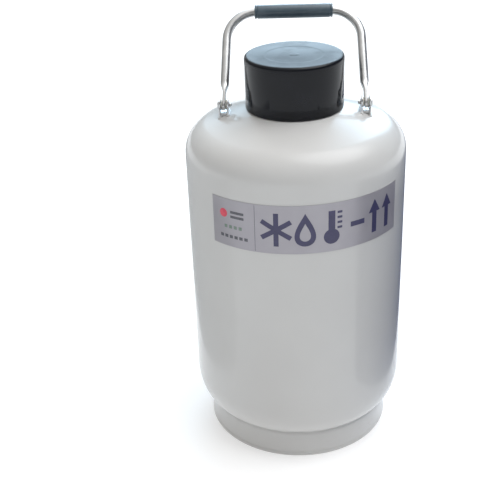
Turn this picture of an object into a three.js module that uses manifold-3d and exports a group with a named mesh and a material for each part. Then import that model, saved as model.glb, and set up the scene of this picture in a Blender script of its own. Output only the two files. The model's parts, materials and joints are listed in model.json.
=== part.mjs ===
// Liquid nitrogen storage dewar, 10 litre class, with a lift-off lid and a folding bail handle.
// Millimetres, +Z up. The origin is the centre of the foot ring's underside, and -Y is the labelled front.
// A double-walled vessel: an inner vessel hangs in a vacuum from its neck tube inside a painted outer shell.

import * as THREE from 'three';
import { mergeVertices } from 'three/addons/utils/BufferGeometryUtils.js';
import Module from 'manifold-3d';

const wasm = await Module();
wasm.setup();

// ---- Driving dimensions ----

const FIT_GAP = 0.3;                 // clearance left between pieces that touch
const BODY_SEGMENTS = 48;            // facets round the large outer pieces
const INNER_SEGMENTS = 32;           // facets round the inner pieces
const SMALL_SEGMENTS = 16;           // facets round pins, washers and the bail tube

const BODY_RADIUS = 150;
const BODY_WALL = 2;
const SEAM_Z = 92;                   // weld between the outer shell and its bottom
const SHOULDER_START_Z = 426;
const SHOULDER_RADIUS = 43;
const SHOULDER_TURN = rad(71);       // the shoulder arc ends where its cone begins
const LID_SEAT_RADIUS = 66;
const LID_SEAT_Z = 484.6;            // height of the shoulder cone at the lid's edge
const NECK_HOLE_RADIUS = 40;

const BOTTOM_START_Z = 88.4;
const BOTTOM_ROUND_WIDTH = 26.8;     // the bottom edge is a quarter ellipse
const BOTTOM_ROUND_HEIGHT = 48.3;
const BOTTOM_CENTRE_Z = 36;

const FOOT_RADIUS = 132;
const FOOT_WALL = 2.4;
const FOOT_LIP_WIDTH = 10;
const FOOT_HEIGHT = 42.3;

const NECK_BORE_RADIUS = 25;         // the standard 50 mm neck
const NECK_WALL = 2.6;
const NECK_BOTTOM_Z = 384;
const NECK_TOP_Z = 503;
const COLLAR_TOP_Z = 500;
const NECK_RING_TOP_Z = 512;
const NECK_RING_RADIUS = 46;
const HANDLE_NOTCHES = 6;            // one for each canister handle

const INNER_RADIUS = 112;
const INNER_WALL = 1.8;
const INNER_CYLINDER_BOTTOM_Z = 120;
const INNER_CYLINDER_TOP_Z = 338;
const INNER_WELD_Z = 230;
const INNER_DISH_DEPTH = 26;
const INNER_DOME_HEIGHT = 44;
const SPIGOT_RADIUS = 30;
const SPIGOT_TOP_Z = 398;

const WRAP_TOP_Z = 360;              // the insulation is wound in layers between the two vessels
const WRAP_RADIUS = 138;
const BOTTOM_PAD_Z = 58;
const TOP_PAD_PROFILE = [[58, 386], [112, 366], [138, 366], [138, 392], [110, 410], [58, 424]];
const ADSORBENT_BOTTOM_Z = 384;
const ADSORBENT_HEIGHT = 12;
const ADSORBENT_WIDTH = 24;

const SPIDER_ARMS = 6;
const SPIDER_ARM_LENGTH = 86;
const SPIDER_ARM_HALF_WIDTH = 5;
const SPIDER_HUB_RADIUS = 18;
const SPIDER_THICKNESS = 3;

const LID_RADIUS = 66;
const LID_BOTTOM_Z = 486.2;
const LID_TOP_Z = 556;
const LID_WALL = 3.2;
const LID_EDGE_RADIUS = 4.6;
const LID_DISH_DEPTH = 0.8;
const LID_DIMPLE_RADIUS = 5;
const PLUG_RADIUS = 23.4;
const PLUG_BOTTOM_Z = 404;
const PLUG_HEAD_RADIUS = 56;
const PLUG_DISC_THICKNESS = 4;

const LABEL_BOTTOM_Z = 339;
const LABEL_HEIGHT = 67;
const LABEL_START = rad(-45.2);      // angles are taken from the front, towards +X
const LABEL_END = rad(59.4);
const LABEL_THICKNESS = 0.5;

const PIVOT_X = 94.8;
const PIVOT_Z = 487.9;
const BAIL_HEIGHT = 132.4;           // pivot to the centre of the grip
const BAIL_TUBE_RADIUS = 6;
const BAIL_BEND_RADIUS = 41.4;
const BAIL_TAPER = rad(2.13);        // the legs lean in towards the grip
const BAIL_LEAN = rad(38);           // at rest the bail stands leaning back
const LEG_THICKNESS = 4;             // the flattened end that the pin goes through
const LEG_WIDTH = 15;
const LEG_FLAT_TOP = 17;
const LEG_ROUND_START = 31;
const GRIP_HALF_LENGTH = 53;
const GRIP_RADIUS = 9.5;

const BRACKET_HALF_WIDTH = 6.5;
const BRACKET_WALL = 2;
const BRACKET_DEPTH = 16;
const BRACKET_FOOT_DEPTH = 28;       // the ears spread where they are welded to the shoulder
const BRACKET_SPREAD_TOP_Z = 486;
const BRACKET_SPREAD_BOTTOM_Z = 477;
const BRACKET_FLOOR_Z = 479;
const BRACKET_ROUND_Z = 490;
const PIN_RADIUS = 2.5;
const PIN_HOLE_RADIUS = 2.9;
const PIN_TIP_LENGTH = 4;

const PORT_DISTANCE = 100;           // vacuum port, on the back shoulder
const PORT_RADIUS = 7;
const PORT_WALL = 2;
const PORT_HEIGHT = 13;
const PORT_DEPTH = 8;
const PORT_CAP_WALL = 3.2;

// ---- Derived dimensions ----

const SHOULDER_CENTRE_R = BODY_RADIUS - SHOULDER_RADIUS;
const CONE_START_R = SHOULDER_CENTRE_R + SHOULDER_RADIUS * Math.cos(SHOULDER_TURN);
const CONE_START_Z = SHOULDER_START_Z + SHOULDER_RADIUS * Math.sin(SHOULDER_TURN);
const CONE_SLOPE = (LID_SEAT_Z - CONE_START_Z) / (CONE_START_R - LID_SEAT_RADIUS);

// ---- Helpers ----

function rad(degrees) {
  return degrees * Math.PI / 180;
}

function coneHeight(radius) {
  return LID_SEAT_Z + (LID_SEAT_RADIUS - radius) * CONE_SLOPE;
}

// Points on an arc or ellipse in the (radius, height) plane.
function arc(centreR, centreZ, width, height, from, to, steps) {
  const points = [];
  for (let i = 0; i <= steps; i++) {
    const angle = from + (to - from) * i / steps;
    points.push([centreR + width * Math.cos(angle), centreZ + height * Math.sin(angle)]);
  }
  return points;
}

// Turns a profile of [radius, height] points about Z. The outer side is listed upwards.
function turned(profile, segments) {
  const points = profile.map(([radius, height]) => new THREE.Vector2(Math.max(radius, 0), height));
  const geometry = new THREE.LatheGeometry(points, segments);
  return geometry.rotateX(Math.PI / 2);
}

// A ring whose profile closes on itself.
function turnedRing(profile, segments) {
  return turned([...profile, profile[0]], segments);
}

function tubeRing(innerRadius, outerRadius, bottom, top, segments) {
  return turnedRing([[innerRadius, bottom], [outerRadius, bottom], [outerRadius, top], [innerRadius, top]],
    segments);
}

function solidFrom(geometry) {
  const bare = geometry.clone();
  bare.deleteAttribute('normal');
  bare.deleteAttribute('uv');
  const merged = mergeVertices(bare, 1e-4);
  const position = merged.getAttribute('position').array;
  const mesh = new wasm.Mesh({
    numProp: 3,
    vertProperties: new Float32Array(position),
    triVerts: new Uint32Array(merged.getIndex().array),
  });
  mesh.merge();
  return new wasm.Manifold(mesh);
}

function geometryFrom(solid) {
  const mesh = solid.getMesh();
  const geometry = new THREE.BufferGeometry();
  geometry.setAttribute('position', new THREE.BufferAttribute(new Float32Array(mesh.vertProperties), 3));
  geometry.setIndex(new THREE.BufferAttribute(new Uint32Array(mesh.triVerts), 1));
  geometry.computeVertexNormals();
  return geometry;
}

function cut(base, ...tools) {
  return geometryFrom(tools.reduce((solid, tool) => solid.subtract(solidFrom(tool)), solidFrom(base)));
}

function joined(first, ...others) {
  return geometryFrom(others.reduce((solid, other) => solid.add(solidFrom(other)), solidFrom(first)));
}

function common(first, second) {
  return geometryFrom(solidFrom(first).intersect(solidFrom(second)));
}

// A round bar along X between two x positions, at the height z.
function barAlongX(radius, fromX, toX, z, segments = SMALL_SEGMENTS) {
  const bar = new THREE.CylinderGeometry(radius, radius, toX - fromX, segments);
  return bar.rotateZ(Math.PI / 2).translate((fromX + toX) / 2, 0, z);
}

// An outline of (y, z) points, extruded along X between two x positions.
function slabAlongX(shape, fromX, toX, curveSegments) {
  const slab = new THREE.ExtrudeGeometry(shape, { depth: toX - fromX, bevelEnabled: false, curveSegments });
  return slab.rotateY(Math.PI / 2).rotateX(Math.PI / 2).translate(fromX, 0, 0);
}

function paint(color, roughness, metalness) {
  return new THREE.MeshStandardMaterial({ color, roughness, metalness });
}

// ---- Materials ----

const whitePaint = () => paint(0xe4e4e2, 0.3, 0);
const bareAluminium = () => paint(0xb9bcc0, 0.45, 1);
const stainless = () => paint(0xc2c5c9, 0.2, 1);
const blackPlastic = () => paint(0x1e2024, 0.22, 0);
const slateRubber = () => paint(0x3d4b55, 0.6, 0);
const whiteFoam = () => paint(0xe8e6df, 0.95, 0);
const fibreglass = () => paint(0xb7b58a, 0.55, 0);
const silverFoil = () => paint(0x9a9a9e, 0.4, 0.3);
const wrapFoil = () => paint(0xcfd2d6, 0.35, 0.9);
const whiteNylon = () => paint(0xdad8d0, 0.5, 0);
const charcoal = () => paint(0x3a3835, 0.9, 0);

const dewar = new THREE.Group();

function addPiece(name, geometry, material, parent = dewar) {
  const mesh = new THREE.Mesh(geometry, material);
  mesh.name = name;
  parent.add(mesh);
  return mesh;
}

// ---- Outer vessel ----

function shoulderLine(inset) {
  const radius = SHOULDER_RADIUS - inset;
  const line = arc(SHOULDER_CENTRE_R, SHOULDER_START_Z, radius, radius, 0, SHOULDER_TURN, 6);
  const drop = inset / Math.cos(Math.atan(CONE_SLOPE));
  return [...line, [NECK_HOLE_RADIUS, coneHeight(NECK_HOLE_RADIUS) - drop]];
}

function makeOuterShell() {
  const bottom = SEAM_Z + FIT_GAP;
  const outside = [[BODY_RADIUS, bottom], ...shoulderLine(0)];
  const inside = [[BODY_RADIUS - BODY_WALL, bottom], ...shoulderLine(BODY_WALL)].reverse();
  const shell = turnedRing([...outside, ...inside], BODY_SEGMENTS);
  const portHole = new THREE.CylinderGeometry(PORT_RADIUS + 0.4, PORT_RADIUS + 0.4, 20, SMALL_SEGMENTS);
  portHole.rotateX(Math.PI / 2 - Math.atan(CONE_SLOPE));
  portHole.translate(0, PORT_DISTANCE, coneHeight(PORT_DISTANCE));
  addPiece('outer_shell', cut(shell, portHole), whitePaint());
}

function bottomLine(inset) {
  const width = BOTTOM_ROUND_WIDTH;
  const height = BOTTOM_ROUND_HEIGHT - inset;
  return arc(BODY_RADIUS - inset - width, BOTTOM_START_Z, width, height, 0, -Math.PI / 2, 6).reverse();
}

function makeOuterBottom() {
  const inner = BODY_RADIUS - BODY_WALL;
  const outside = [[0, BOTTOM_CENTRE_Z], ...bottomLine(0), [BODY_RADIUS, SEAM_Z]];
  const inside = [[0, BOTTOM_CENTRE_Z + BODY_WALL], ...bottomLine(BODY_WALL), [inner, SEAM_Z]];
  addPiece('outer_bottom', turned([...outside, ...inside.reverse()], BODY_SEGMENTS), whitePaint());
}

// A plain cylindrical skirt with a lip turned in to stand on.
function makeFootRing() {
  const inner = FOOT_RADIUS - FOOT_WALL;
  const profile = [
    [FOOT_RADIUS - FOOT_LIP_WIDTH, 0],
    [FOOT_RADIUS, 0],
    [FOOT_RADIUS, FOOT_HEIGHT],
    [inner, FOOT_HEIGHT - 1.4],
    [inner, FOOT_WALL],
    [FOOT_RADIUS - FOOT_LIP_WIDTH, FOOT_WALL],
  ];
  addPiece('foot_ring', turnedRing(profile, BODY_SEGMENTS), whitePaint());
}

function makeLabel() {
  const inner = BODY_RADIUS + 0.4;
  const start = LABEL_START - Math.PI / 2;
  const end = LABEL_END - Math.PI / 2;
  const outer = inner + LABEL_THICKNESS;
  const outline = [...arc(0, 0, outer, outer, start, end, 24), ...arc(0, 0, inner, inner, end, start, 24)];
  const shape = new THREE.Shape(outline.map(([x, y]) => new THREE.Vector2(x, y)));
  const plate = new THREE.ExtrudeGeometry(shape, { depth: LABEL_HEIGHT, bevelEnabled: false });
  addPiece('label_plate', plate, silverFoil()).position.z = LABEL_BOTTOM_Z;
}

// The pump-out port stands square to the shoulder, behind the lid.
function makeVacuumPort() {
  const port = new THREE.Group();
  port.position.set(0, PORT_DISTANCE, coneHeight(PORT_DISTANCE));
  port.rotation.x = -Math.atan(CONE_SLOPE);
  dewar.add(port);
  const bore = PORT_RADIUS - PORT_WALL;
  addPiece('vacuum_port_tube', tubeRing(bore, PORT_RADIUS, -PORT_DEPTH, PORT_HEIGHT, SMALL_SEGMENTS),
    bareAluminium(), port);
  const plugRadius = bore - FIT_GAP;
  const plugTop = PORT_HEIGHT - 1;
  const plugBottom = plugTop - 9;
  const plug = turned([[0, plugBottom], [plugRadius, plugBottom], [plugRadius, plugTop], [0, plugTop]],
    SMALL_SEGMENTS);
  addPiece('vacuum_port_plug', plug, stainless(), port);
  const capBore = PORT_RADIUS + FIT_GAP;
  const capRadius = capBore + PORT_CAP_WALL;
  const capBottom = 1.2;
  const capInnerTop = PORT_HEIGHT + FIT_GAP;
  const capTop = capInnerTop + 3;
  const cap = turned([
    [0, capInnerTop],
    [capBore, capInnerTop],
    [capBore, capBottom],
    [capRadius, capBottom],
    [capRadius, capTop - 1.5],
    [capRadius - 1.5, capTop],
    [0, capTop],
  ], SMALL_SEGMENTS);
  addPiece('vacuum_port_cap', cap, blackPlastic(), port);
}

// ---- Neck ----

function makeNeck() {
  const tubeOuter = NECK_BORE_RADIUS + NECK_WALL;
  addPiece('neck_tube', tubeRing(NECK_BORE_RADIUS, tubeOuter, NECK_BOTTOM_Z, NECK_TOP_Z, INNER_SEGMENTS),
    fibreglass());
  const bore = tubeOuter + 0.4;
  const barrel = NECK_HOLE_RADIUS - 0.6;
  const flangeBottom = coneHeight(NECK_HOLE_RADIUS) + 0.5;
  const collar = [
    [bore, flangeBottom - 10],
    [barrel, flangeBottom - 10],
    [barrel, flangeBottom],
    [NECK_RING_RADIUS, flangeBottom],
    [NECK_RING_RADIUS, COLLAR_TOP_Z],
    [bore, COLLAR_TOP_Z],
  ];
  addPiece('neck_collar', turnedRing(collar, INNER_SEGMENTS), bareAluminium());
}

// The ring guides the canister handles: each hooks into one notch.
function makeNeckRing() {
  const bore = NECK_BORE_RADIUS + 0.2;
  const tubeClear = NECK_BORE_RADIUS + NECK_WALL + 0.4;
  const bottom = COLLAR_TOP_Z + FIT_GAP;
  const profile = [
    [bore, NECK_TOP_Z + FIT_GAP],
    [tubeClear, NECK_TOP_Z + FIT_GAP],
    [tubeClear, bottom],
    [NECK_RING_RADIUS, bottom],
    [NECK_RING_RADIUS, NECK_RING_TOP_Z - 2],
    [NECK_RING_RADIUS - 2, NECK_RING_TOP_Z],
    [bore, NECK_RING_TOP_Z],
  ];
  const notches = [];
  for (let i = 0; i < HANDLE_NOTCHES; i++) {
    const notch = new THREE.BoxGeometry(12, 5, 6);
    notch.translate(bore + 3, 0, NECK_RING_TOP_Z).rotateZ(2 * Math.PI * (i + 0.5) / HANDLE_NOTCHES);
    notches.push(notch);
  }
  addPiece('neck_ring', cut(turnedRing(profile, INNER_SEGMENTS), ...notches), blackPlastic());
}

// ---- Inner vessel and the vacuum space ----

function dishLine(inset) {
  const width = INNER_RADIUS - inset;
  const depth = INNER_DISH_DEPTH - inset;
  return arc(0, INNER_CYLINDER_BOTTOM_Z, width, depth, -Math.PI / 2, 0, 5);
}

function makeInnerBottom() {
  const outside = [...dishLine(-INNER_WALL), [INNER_RADIUS + INNER_WALL, INNER_WELD_Z]];
  const inside = [...dishLine(0), [INNER_RADIUS, INNER_WELD_Z]].reverse();
  addPiece('inner_vessel_bottom', turned([...outside, ...inside], INNER_SEGMENTS), bareAluminium());
}

function domeLine(inset) {
  const width = INNER_RADIUS - inset;
  const height = INNER_DOME_HEIGHT - inset;
  const radius = SPIGOT_RADIUS - INNER_WALL - inset;
  return arc(0, INNER_CYLINDER_TOP_Z, width, height, 0, Math.acos(radius / width), 5);
}

function makeInnerTop() {
  const bottom = INNER_WELD_Z + FIT_GAP;
  const spigotBore = SPIGOT_RADIUS - INNER_WALL;
  const outer = INNER_RADIUS + INNER_WALL;
  const outside = [[outer, bottom], ...domeLine(-INNER_WALL), [SPIGOT_RADIUS, SPIGOT_TOP_Z]];
  const inside = [[INNER_RADIUS, bottom], ...domeLine(0), [spigotBore, SPIGOT_TOP_Z]].reverse();
  addPiece('inner_vessel_top', turnedRing([...outside, ...inside], INNER_SEGMENTS), bareAluminium());
}

// The star on the floor of the vessel keeps the canisters apart.
function makeSpider() {
  const rootDistance = Math.sqrt(SPIDER_HUB_RADIUS ** 2 - SPIDER_ARM_HALF_WIDTH ** 2);
  const armCorners = [[rootDistance, -1], [SPIDER_ARM_LENGTH, -1], [SPIDER_ARM_LENGTH, 1], [rootDistance, 1]];
  const outline = [];
  for (let i = 0; i < SPIDER_ARMS; i++) {
    const angle = 2 * Math.PI * i / SPIDER_ARMS;
    const direction = new THREE.Vector2(Math.cos(angle), Math.sin(angle));
    const across = new THREE.Vector2(-direction.y, direction.x).multiplyScalar(SPIDER_ARM_HALF_WIDTH);
    for (const [distance, side] of armCorners) {
      outline.push(direction.clone().multiplyScalar(distance).addScaledVector(across, side));
    }
  }
  const shape = new THREE.Shape(outline);
  const star = new THREE.ExtrudeGeometry(shape, { depth: SPIDER_THICKNESS, bevelEnabled: false });
  const reach = SPIDER_ARM_LENGTH / INNER_RADIUS;
  const seat = INNER_CYLINDER_BOTTOM_Z - INNER_DISH_DEPTH * Math.sqrt(1 - reach ** 2);
  addPiece('canister_spider', star, bareAluminium()).position.z = seat + 0.8;
}

function makeInsulation() {
  const wrapInner = INNER_RADIUS + INNER_WALL + 1.7;
  const wrapBottom = INNER_CYLINDER_BOTTOM_Z - INNER_DISH_DEPTH - INNER_WALL;
  addPiece('insulation_wrap', tubeRing(wrapInner, WRAP_RADIUS, wrapBottom, WRAP_TOP_Z, INNER_SEGMENTS),
    wrapFoil());
  const padTop = wrapBottom - 2;
  const pad = [[0, BOTTOM_PAD_Z], [WRAP_RADIUS, BOTTOM_PAD_Z], [WRAP_RADIUS, padTop], [0, padTop]];
  addPiece('insulation_bottom_pad', turned(pad, INNER_SEGMENTS), wrapFoil());
  addPiece('insulation_top_pad', turnedRing(TOP_PAD_PROFILE, INNER_SEGMENTS), wrapFoil());
}

function makeAdsorbent() {
  const inner = SPIGOT_RADIUS + 1;
  const outer = inner + ADSORBENT_WIDTH;
  const top = ADSORBENT_BOTTOM_Z + ADSORBENT_HEIGHT;
  addPiece('adsorbent_pack', tubeRing(inner, outer, ADSORBENT_BOTTOM_Z, top, INNER_SEGMENTS), charcoal());
}

// ---- Lid and neck plug ----

function makeLid() {
  const cavityRadius = LID_RADIUS - LID_WALL;
  const cavityTop = LID_TOP_Z - 5;
  const dishedTop = LID_TOP_Z - LID_DISH_DEPTH;
  const edgeR = LID_RADIUS - LID_EDGE_RADIUS;
  const edgeZ = LID_TOP_Z - LID_EDGE_RADIUS;
  const rimRadius = edgeR - 3;
  const edge = arc(edgeR, edgeZ, LID_EDGE_RADIUS, LID_EDGE_RADIUS, 0, Math.PI / 2, 4);
  const profile = [
    [0, cavityTop],
    [cavityRadius, cavityTop],
    [cavityRadius, LID_BOTTOM_Z],
    [LID_RADIUS, LID_BOTTOM_Z],
    ...edge,
    [rimRadius, LID_TOP_Z],
    [rimRadius - 8, dishedTop],
    [LID_DIMPLE_RADIUS, dishedTop],
    [LID_DIMPLE_RADIUS - 1.5, dishedTop - LID_DISH_DEPTH],
    [0, dishedTop - LID_DISH_DEPTH],
  ];
  addPiece('lid_cap', turned(profile, BODY_SEGMENTS), blackPlastic());
  const discTop = cavityTop - FIT_GAP;
  const discBottom = discTop - PLUG_DISC_THICKNESS;
  const disc = turned([
    [0, discBottom],
    [PLUG_HEAD_RADIUS, discBottom],
    [PLUG_HEAD_RADIUS, discTop],
    [0, discTop],
  ], INNER_SEGMENTS);
  addPiece('plug_disc', disc, blackPlastic());
  const headTop = discBottom - FIT_GAP;
  const headBottom = NECK_RING_TOP_Z + 2;
  const plug = [
    [0, PLUG_BOTTOM_Z],
    [PLUG_RADIUS - 2, PLUG_BOTTOM_Z],
    [PLUG_RADIUS, PLUG_BOTTOM_Z + 2],
    [PLUG_RADIUS, headBottom],
    [PLUG_HEAD_RADIUS, headBottom],
    [PLUG_HEAD_RADIUS, headTop],
    [0, headTop],
  ];
  addPiece('neck_plug', turned(plug, INNER_SEGMENTS), whiteFoam());
}

// ---- Bail handle ----

// The bail's centre line in its own plane: x sideways and z up from the pivots.
class BailCurve extends THREE.Curve {
  constructor(startHeight) {
    super();
    this.bendZ = BAIL_HEIGHT - BAIL_BEND_RADIUS;
    this.legTopZ = this.bendZ + BAIL_BEND_RADIUS * Math.sin(BAIL_TAPER);
    this.legTopX = PIVOT_X - this.legTopZ * Math.tan(BAIL_TAPER);
    this.bendX = this.legTopX - BAIL_BEND_RADIUS * Math.cos(BAIL_TAPER);
    this.bendLength = BAIL_BEND_RADIUS * (Math.PI / 2 - BAIL_TAPER);
    this.halfLength = this.bendX + this.bendLength + (this.legTopZ - startHeight) / Math.cos(BAIL_TAPER);
  }

  getPoint(t, target = new THREE.Vector3()) {
    const travel = (2 * t - 1) * this.halfLength;
    const side = Math.sign(travel);
    const distance = Math.abs(travel);
    if (distance <= this.bendX) {
      return target.set(travel, 0, BAIL_HEIGHT);
    }
    if (distance <= this.bendX + this.bendLength) {
      const angle = Math.PI / 2 - (distance - this.bendX) / BAIL_BEND_RADIUS;
      const x = this.bendX + BAIL_BEND_RADIUS * Math.cos(angle);
      return target.set(side * x, 0, this.bendZ + BAIL_BEND_RADIUS * Math.sin(angle));
    }
    const down = distance - this.bendX - this.bendLength;
    const x = this.legTopX + down * Math.sin(BAIL_TAPER);
    return target.set(side * x, 0, this.legTopZ - down * Math.cos(BAIL_TAPER));
  }
}

// Each leg's end is the tube pressed flat, with a round eye for the pivot pin.
function makeLegEnd(side) {
  const height = LEG_ROUND_START + 1;
  const end = new THREE.CylinderGeometry(BAIL_TUBE_RADIUS, BAIL_TUBE_RADIUS, height, SMALL_SEGMENTS, 6);
  end.rotateX(Math.PI / 2).translate(0, 0, height / 2);
  const position = end.getAttribute('position');
  for (let i = 0; i < position.count; i++) {
    const roundness = THREE.MathUtils.smoothstep(position.getZ(i), LEG_FLAT_TOP, LEG_ROUND_START);
    const halfThickness = THREE.MathUtils.lerp(LEG_THICKNESS / 2, BAIL_TUBE_RADIUS, roundness);
    const widening = THREE.MathUtils.lerp(LEG_WIDTH / 2 / BAIL_TUBE_RADIUS, 1, roundness);
    position.setX(i, THREE.MathUtils.clamp(position.getX(i), -halfThickness, halfThickness));
    position.setY(i, position.getY(i) * widening);
  }
  const eye = barAlongX(LEG_WIDTH / 2, -LEG_THICKNESS / 2, LEG_THICKNESS / 2, 0, 24);
  const hole = barAlongX(PIN_HOLE_RADIUS, -LEG_THICKNESS, LEG_THICKNESS, 0);
  return cut(joined(end, eye), hole).rotateY(-side * BAIL_TAPER).translate(side * PIVOT_X, 0, 0);
}

function makeBail() {
  const bail = new THREE.Group();
  bail.position.z = PIVOT_Z;
  bail.rotation.x = -BAIL_LEAN;
  dewar.add(bail);
  const section = new THREE.Shape().absarc(0, 0, BAIL_TUBE_RADIUS, 0, 2 * Math.PI);
  const tube = new THREE.ExtrudeGeometry(section, {
    steps: 30,
    curveSegments: SMALL_SEGMENTS / 2,
    extrudePath: new BailCurve(LEG_ROUND_START),
  });
  addPiece('bail_tube', joined(tube, makeLegEnd(-1), makeLegEnd(1)), stainless(), bail);
  const sleeveBore = BAIL_TUBE_RADIUS + 0.8;
  const sleeve = tubeRing(sleeveBore, GRIP_RADIUS, -GRIP_HALF_LENGTH, GRIP_HALF_LENGTH, SMALL_SEGMENTS);
  sleeve.rotateY(Math.PI / 2);
  addPiece('handle_grip', sleeve, slateRubber(), bail).position.z = BAIL_HEIGHT;
}

// Two ears on a folded strip, open at the top. Their feet follow the slope of the shoulder.
function makeBracket(name, side) {
  const half = BRACKET_HALF_WIDTH;
  const gap = half - BRACKET_WALL;
  const top = BRACKET_ROUND_Z + BRACKET_DEPTH;
  const weld = 0.5;
  const corners = [
    [-half, coneHeight(PIVOT_X - half) + weld],
    [half, coneHeight(PIVOT_X + half) + weld],
    [half, top],
    [gap, top],
    [gap, BRACKET_FLOOR_Z],
    [-gap, BRACKET_FLOOR_Z],
    [-gap, top],
    [-half, top],
  ];
  const outline = new THREE.Shape(corners.map(([x, z]) => new THREE.Vector2(side * (PIVOT_X + x), z)));
  const strip = new THREE.ExtrudeGeometry(outline, { depth: BRACKET_FOOT_DEPTH, bevelEnabled: false });
  strip.rotateX(Math.PI / 2).translate(0, BRACKET_FOOT_DEPTH / 2, 0);
  const earRadius = BRACKET_DEPTH / 2;
  const foot = BRACKET_FOOT_DEPTH / 2;
  const footLow = BRACKET_FLOOR_Z - BRACKET_DEPTH;
  const ear = new THREE.Shape();
  ear.moveTo(-foot, footLow);
  ear.lineTo(foot, footLow);
  ear.lineTo(foot, BRACKET_SPREAD_BOTTOM_Z);
  ear.lineTo(earRadius, BRACKET_SPREAD_TOP_Z);
  ear.absarc(0, BRACKET_ROUND_Z, earRadius, 0, Math.PI);
  ear.lineTo(-earRadius, BRACKET_SPREAD_TOP_Z);
  ear.lineTo(-foot, BRACKET_SPREAD_BOTTOM_Z);
  const centreX = side * PIVOT_X;
  const rounded = common(strip, slabAlongX(ear, centreX - 2 * half, centreX + 2 * half, 8));
  const hole = barAlongX(PIN_HOLE_RADIUS, centreX - 2 * half, centreX + 2 * half, PIVOT_Z);
  const mouths = [-1, 1].map((end) => {
    const mouth = new THREE.BoxGeometry(2 * gap, BRACKET_DEPTH, 2 * BRACKET_FOOT_DEPTH);
    return mouth.translate(centreX, end * BRACKET_DEPTH, BRACKET_FLOOR_Z);
  });
  addPiece(name, cut(rounded, hole, ...mouths), stainless());
}

// The pin's head is outside; its tip stands out towards the lid, behind a spring clip.
function makePin(word, side) {
  const half = BRACKET_HALF_WIDTH;
  const headBase = half + FIT_GAP;
  const tip = half + PIN_TIP_LENGTH;
  const pin = turned([
    [0, -tip],
    [PIN_RADIUS - 0.5, -tip],
    [PIN_RADIUS, -tip + 0.5],
    [PIN_RADIUS, headBase],
    [2 * PIN_RADIUS, headBase],
    [2 * PIN_RADIUS, headBase + 1.2],
    [PIN_RADIUS, headBase + 2.5],
    [0, headBase + 2.5],
  ], SMALL_SEGMENTS);
  const clip = tubeRing(PIN_RADIUS + FIT_GAP, 2 * PIN_RADIUS, -half - 1.2, -half - 0.4, SMALL_SEGMENTS);
  const clipMouth = new THREE.BoxGeometry(3.6, 2 * PIN_RADIUS, 4);
  clipMouth.translate(0, -2 * PIN_RADIUS, -half);
  const pieces = [[`pivot_pin_${word}`, pin], [`pin_clip_${word}`, cut(clip, clipMouth)]];
  const washerFrom = LEG_THICKNESS / 2 + 0.55;
  const washerTo = washerFrom + 1.4;
  for (const [place, from, to] of [['outer', washerFrom, washerTo], ['inner', -washerTo, -washerFrom]]) {
    const washer = tubeRing(PIN_HOLE_RADIUS, LEG_WIDTH / 2 - 1, from, to, SMALL_SEGMENTS);
    pieces.push([`pivot_washer_${word}_${place}`, washer]);
  }
  for (const [name, geometry] of pieces) {
    const material = name.startsWith('pivot_washer') ? whiteNylon() : stainless();
    const mesh = addPiece(name, geometry, material);
    mesh.rotation.y = side * Math.PI / 2;
    mesh.position.set(side * PIVOT_X, 0, PIVOT_Z);
  }
}

makeOuterShell();
makeOuterBottom();
makeFootRing();
makeLabel();
makeVacuumPort();
makeNeck();
makeNeckRing();
makeInnerBottom();
makeInnerTop();
makeSpider();
makeInsulation();
makeAdsorbent();
makeLid();
makeBail();
for (const [word, side] of [['left', -1], ['right', 1]]) {
  makeBracket(`bail_bracket_${word}`, side);
  makePin(word, side);
}

export default dewar;
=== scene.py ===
"""Looks for a 10 litre liquid nitrogen dewar: smooth shells, lid, bail handle, label, materials and studio.

Metres, +Z up, in the CAD frame. -Y is the labelled front. Places come from the CAD nodes' boxes and joints.
"""

import json
import math

import bmesh
import bpy
from mathutils import Matrix, Vector


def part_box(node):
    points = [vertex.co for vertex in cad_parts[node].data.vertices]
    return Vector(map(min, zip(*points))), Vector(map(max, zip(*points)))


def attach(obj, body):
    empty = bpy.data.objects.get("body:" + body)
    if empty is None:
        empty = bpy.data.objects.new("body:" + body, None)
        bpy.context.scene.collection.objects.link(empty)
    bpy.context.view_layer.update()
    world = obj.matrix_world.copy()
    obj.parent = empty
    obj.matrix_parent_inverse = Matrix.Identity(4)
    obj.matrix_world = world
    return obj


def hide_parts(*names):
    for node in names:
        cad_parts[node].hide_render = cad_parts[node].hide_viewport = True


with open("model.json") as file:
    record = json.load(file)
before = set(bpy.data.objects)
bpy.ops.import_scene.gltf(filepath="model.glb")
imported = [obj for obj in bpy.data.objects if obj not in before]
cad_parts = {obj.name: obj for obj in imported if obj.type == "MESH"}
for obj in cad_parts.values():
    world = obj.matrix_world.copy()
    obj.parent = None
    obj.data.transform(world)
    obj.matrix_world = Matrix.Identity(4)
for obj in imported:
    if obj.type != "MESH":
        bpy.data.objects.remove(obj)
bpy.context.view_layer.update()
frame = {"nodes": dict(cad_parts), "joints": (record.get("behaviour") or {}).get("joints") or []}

MM = 0.001


# ---------------------------------------------------------------- sizes taken from the frame

def low(node):
    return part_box(node)[0]


def high(node):
    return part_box(node)[1]


def middle(node):
    return (low(node) + high(node)) / 2


BODY_R = high("outer_shell").x
BODY_SEAM_Z = (low("outer_shell").z + high("outer_bottom").z) / 2
FOOT_R = high("foot_ring").x
LID_R = high("lid_cap").x
LID_TOP_Z = high("lid_cap").z
LID_BOTTOM_Z = low("lid_cap").z
NECK_RING_R = high("neck_ring").x
NECK_RING_TOP_Z = high("neck_ring").z
LABEL_LOW_Z = low("label_plate").z
LABEL_HIGH_Z = high("label_plate").z

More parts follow.
